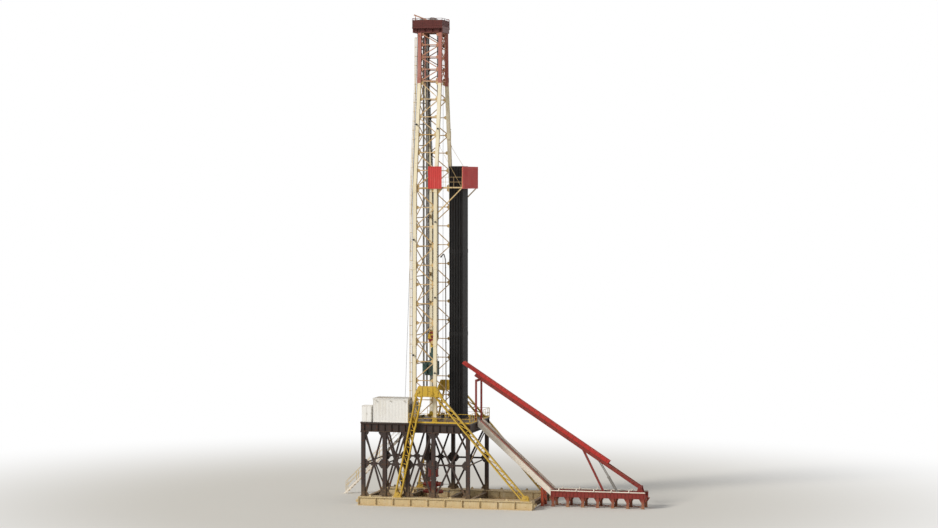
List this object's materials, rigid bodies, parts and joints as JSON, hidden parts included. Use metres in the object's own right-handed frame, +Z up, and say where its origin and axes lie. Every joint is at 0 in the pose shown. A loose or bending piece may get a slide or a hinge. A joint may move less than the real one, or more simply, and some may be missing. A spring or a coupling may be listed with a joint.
{
  "type": "oil drilling rig, one-tenth scale model",
  "caption": "Land drilling rig with an open-front lattice mast, racking board, substructure, A-frames, doghouse, ramp, catwalk and raised pipe trough, as a one-tenth scale model",
  "frame": {"origin": "well centre at ground level, the middle of the bottom face of the blowout preventer stack's flange", "axes": "+X out of the V-door along the catwalk, +Y to the far side of the picture, +Z up"},
  "size_m": [3.696, 1.119, 5.512],
  "materials": {
    "cream_paint": "faded cream paint with rust at the joints",
    "dark_steel": "dark brown paint, dusty",
    "floor_steel": "worn dark floor plate",
    "red_paint": "red paint",
    "worn_steel": "worn steel",
    "valve_red": "dull red-brown paint",
    "yellow_paint": "faded yellow paint",
    "mast_red": "faded red paint",
    "crown_red": "dark red paint",
    "windbreak_red": "red panel paint",
    "timber": "worn timber mat",
    "pipe_black": "black drill pipe",
    "drive_paint": "dark green machine paint, oily",
    "wire_rope": "greased wire rope",
    "white_paint": "white cabin paint",
    "pane_and_door": "grey door and window",
    "ramp_paint": "orange-red ramp, scraped",
    "catwalk_red": "dark red paint",
    "trough_red": "red paint",
    "pale_paint": "pale worn paint"
  },
  "bodies": {
    "rig": {"base_boxes": "cream_paint", "posts": "dark_steel", "substructure_bracing": "dark_steel", "floor_girders": "dark_steel", "floor_beams": "dark_steel", "drill_floor": "floor_steel", "rotary_housing": "red_paint", "bop_stack": "valve_red", "a_frame_rear_legs": "yellow_paint", "a_frame_front_legs": "yellow_paint", "a_frame_heads": "yellow_paint", "mast_lower_sides": "cream_paint", "mast_upper_sides": "cream_paint", "mast_back": "cream_paint", "mast_top_sides": "mast_red", "mast_top_faces": "mast_red", "crown_frame": "crown_red", "crown_sheaves": "worn_steel", "crown_rails": "crown_red", "racking_sides": "cream_paint", "racking_walkway": "cream_paint", "racking_fingers": "yellow_paint", "windbreak_front": "windbreak_red", "windbreak_sides": "windbreak_red", "setback_mats": "timber", "pipe_stands": "pipe_black", "drilling_lines": "wire_rope", "fast_and_dead_lines": "wire_rope", "drawworks": "drive_paint", "doghouse_long_walls": "white_paint", "doghouse_end_walls": "white_paint", "doghouse_roof": "white_paint", "doghouse_fittings": "pane_and_door", "handrails": "yellow_paint", "ramp": "ramp_paint", "ramp_and_stair_sides": "pale_paint", "catwalk_deck": "catwalk_red", "catwalk_frame": "catwalk_red", "trough_carrier": "catwalk_red", "stair_treads": "floor_steel"},
    "hoist": {"travelling_block": "yellow_paint", "top_drive": "drive_paint", "links_and_elevator": "worn_steel"},
    "table": {"rotary_table": "worn_steel"},
    "trough": {"pipe_trough": "trough_red"}
  },
  "joints": [
    {"name": "hoist_slide", "type": "slide", "parent": "rig", "child": "hoist", "axis": [0, 0, 1], "range_m": [0, 3], "deforming": ["drilling_lines"]},
    {"name": "table_turn", "type": "hinge", "parent": "rig", "child": "table", "pos_m": [0, 0, 0.93], "axis": [0, 0, 1], "continuous": true},
    {"name": "trough_slide", "type": "slide", "parent": "rig", "child": "trough", "axis": [0.8387, 0, -0.5446], "range_m": [0, 0.36]}
  ]
}
